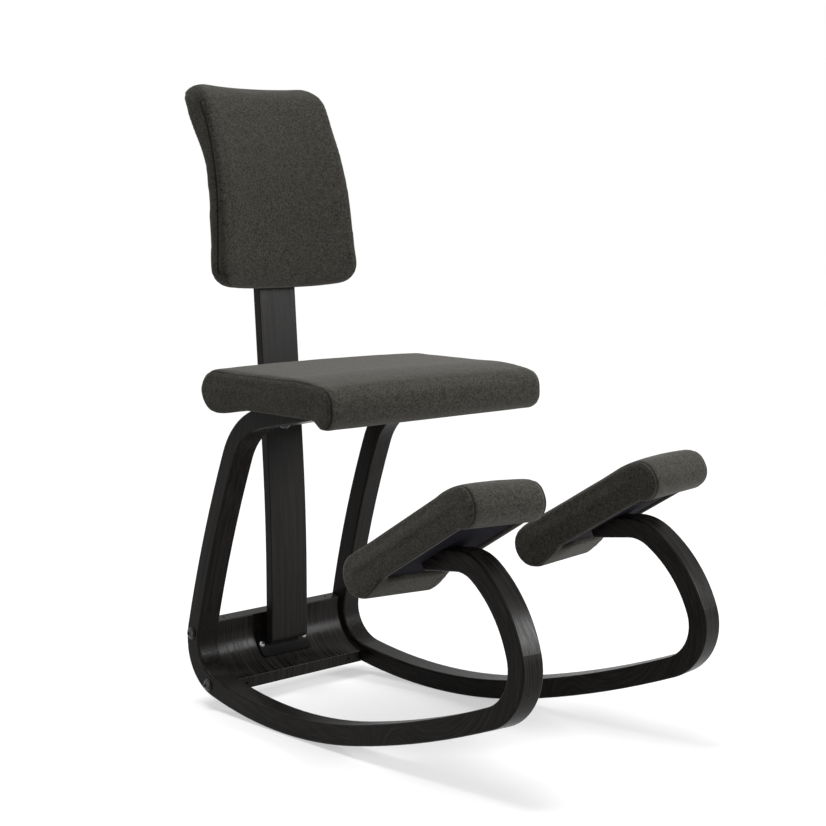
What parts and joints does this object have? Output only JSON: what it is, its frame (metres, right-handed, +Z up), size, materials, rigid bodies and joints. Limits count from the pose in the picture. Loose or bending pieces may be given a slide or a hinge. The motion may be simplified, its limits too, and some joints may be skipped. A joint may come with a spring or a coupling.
{
  "type": "kneeling chair",
  "caption": "Kneeling chair: padded seat, sloping knee pads and a tall padded backrest on a flat post, carried by bent wooden rocker runners that a curved cross panel joins.",
  "frame": {"origin": "on the floor, under the centre of the bounding box", "axes": "+Z up, -Y to the front where the knee pads are, +X to the sitter's left"},
  "size_m": [0.4848, 0.7743, 0.9318],
  "materials": {
    "runner_wood": "satin",
    "panel_wood": "satin",
    "post_wood": "satin",
    "board_plywood": "matte",
    "black_steel": "satin",
    "black_steel_fastener": "satin",
    "zinc_fastener": "satin",
    "brass_insert": "satin",
    "cushion_cloth": "matte",
    "liner_cloth": "matte",
    "tab_cloth": "matte"
  },
  "bodies": {
    "root": {"runner_right": "runner_wood", "runner_left": "runner_wood", "cross_panel": "panel_wood", "back_post": "post_wood", "back_board": "board_plywood", "seat_board": "board_plywood", "knee_board_right": "board_plywood", "knee_board_left": "board_plywood", "post_bracket": "black_steel", "post_foot_bolts": "black_steel_fastener", "panel_bolts": "black_steel_fastener", "panel_washers": "black_steel_fastener", "seat_bolts": "black_steel_fastener", "seat_washers": "black_steel_fastener", "back_bolts": "black_steel_fastener", "back_washers": "black_steel_fastener", "knee_screws": "black_steel_fastener", "bracket_screws": "zinc_fastener", "panel_barrel_nuts": "zinc_fastener", "seat_tee_nuts": "zinc_fastener", "back_tee_nuts": "zinc_fastener", "post_foot_inserts": "brass_insert", "seat_cushion": "cushion_cloth", "knee_cushion_right": "cushion_cloth", "knee_cushion_left": "cushion_cloth", "back_cushion": "cushion_cloth", "seat_liner": "liner_cloth", "knee_liner_right": "liner_cloth", "knee_liner_left": "liner_cloth", "seam_tab": "tab_cloth"}
  },
  "joints": []
}
